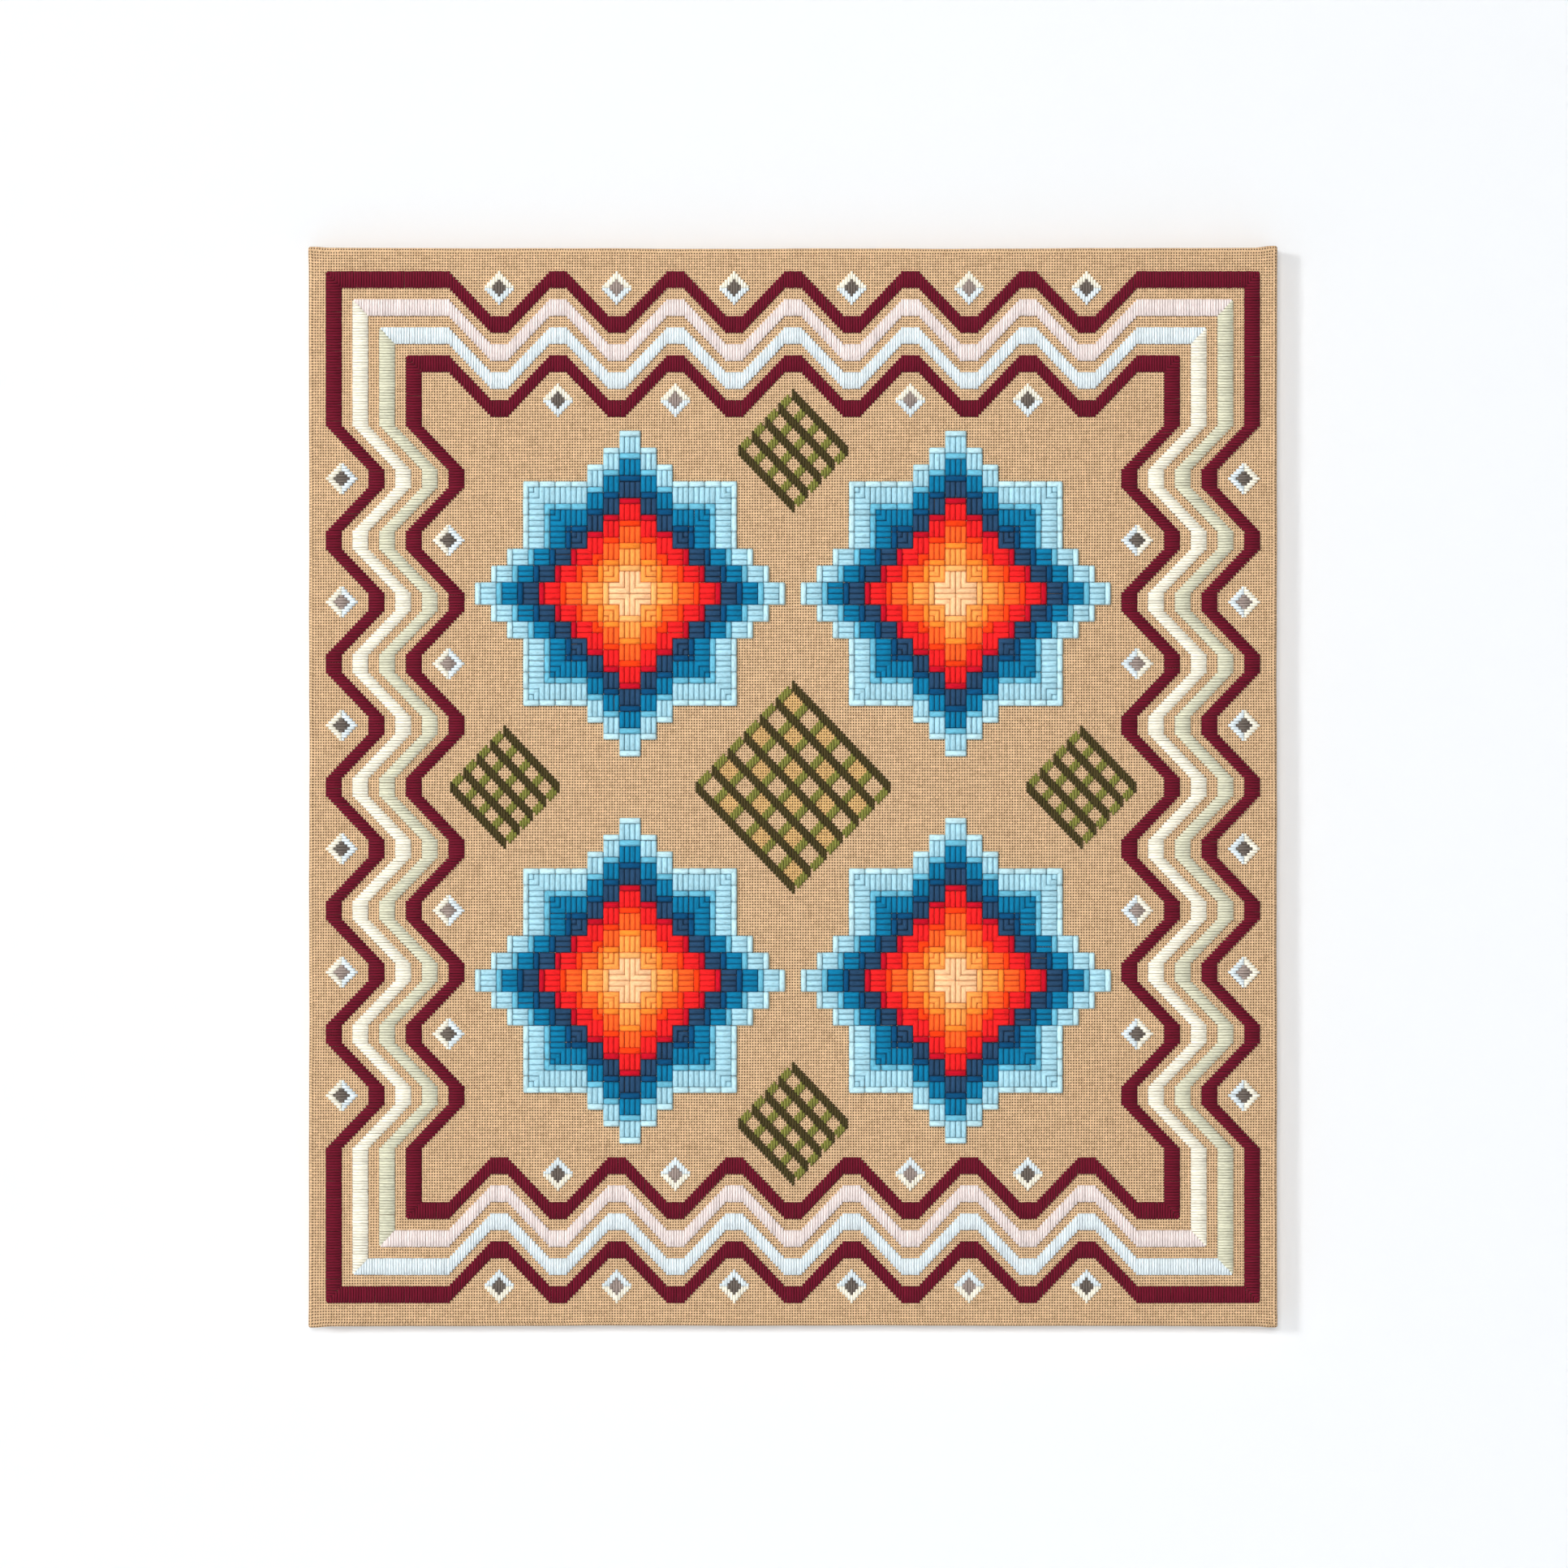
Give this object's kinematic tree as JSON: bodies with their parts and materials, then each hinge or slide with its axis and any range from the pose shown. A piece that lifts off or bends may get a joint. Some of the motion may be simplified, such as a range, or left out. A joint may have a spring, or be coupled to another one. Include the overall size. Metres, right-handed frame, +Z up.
{
  "type": "needlepoint canvas panel on a stretcher frame",
  "caption": "Wall panel of open mono canvas worked in raised satin stitch with flame stars, trellis diamonds and a zigzag border, stretched and turned over mitred wooden bars.",
  "frame": {"origin": "On the back plane that meets the wall, at the middle of the top hem.", "axes": "X to the viewer's right, Y from the worked face back into the wall, Z up."},
  "size_m": [0.5004, 0.0219, 0.5586],
  "materials": {
    "canvas": "matte open weave",
    "wood": "bare planed softwood",
    "burgundy_yarn": "soft matte yarn",
    "pink_yarn": "soft matte yarn",
    "pale_blue_yarn": "soft matte yarn",
    "sage_yarn": "soft matte yarn",
    "cream_yarn": "soft matte yarn",
    "blue_yarn": "soft matte yarn",
    "red_yarn": "soft matte yarn",
    "orange_yarn": "soft matte yarn",
    "olive_yarn": "soft matte yarn",
    "grey_yarn": "soft matte yarn"
  },
  "bodies": {
    "root": {"canvas": "canvas", "bar_top": "wood", "bar_right": "wood", "bar_bottom": "wood", "bar_left": "wood", "zigzag_outer": "burgundy_yarn", "zigzag_inner": "burgundy_yarn", "band_top_outer": "pink_yarn", "band_top_inner": "pale_blue_yarn", "band_right_outer": "sage_yarn", "band_right_inner": "cream_yarn", "band_bottom_outer": "pale_blue_yarn", "band_bottom_inner": "pink_yarn", "band_left_outer": "cream_yarn", "band_left_inner": "sage_yarn", "star_upper_left_blue": "blue_yarn", "star_upper_left_red": "red_yarn", "star_upper_left_orange": "orange_yarn", "star_upper_right_blue": "blue_yarn", "star_upper_right_red": "red_yarn", "star_upper_right_orange": "orange_yarn", "star_lower_left_blue": "blue_yarn", "star_lower_left_red": "red_yarn", "star_lower_left_orange": "orange_yarn", "star_lower_right_blue": "blue_yarn", "star_lower_right_red": "red_yarn", "star_lower_right_orange": "orange_yarn", "trellis_middle": "olive_yarn", "trellis_top": "olive_yarn", "trellis_right": "olive_yarn", "trellis_bottom": "olive_yarn", "trellis_left": "olive_yarn"}
  },
  "joints": []
}
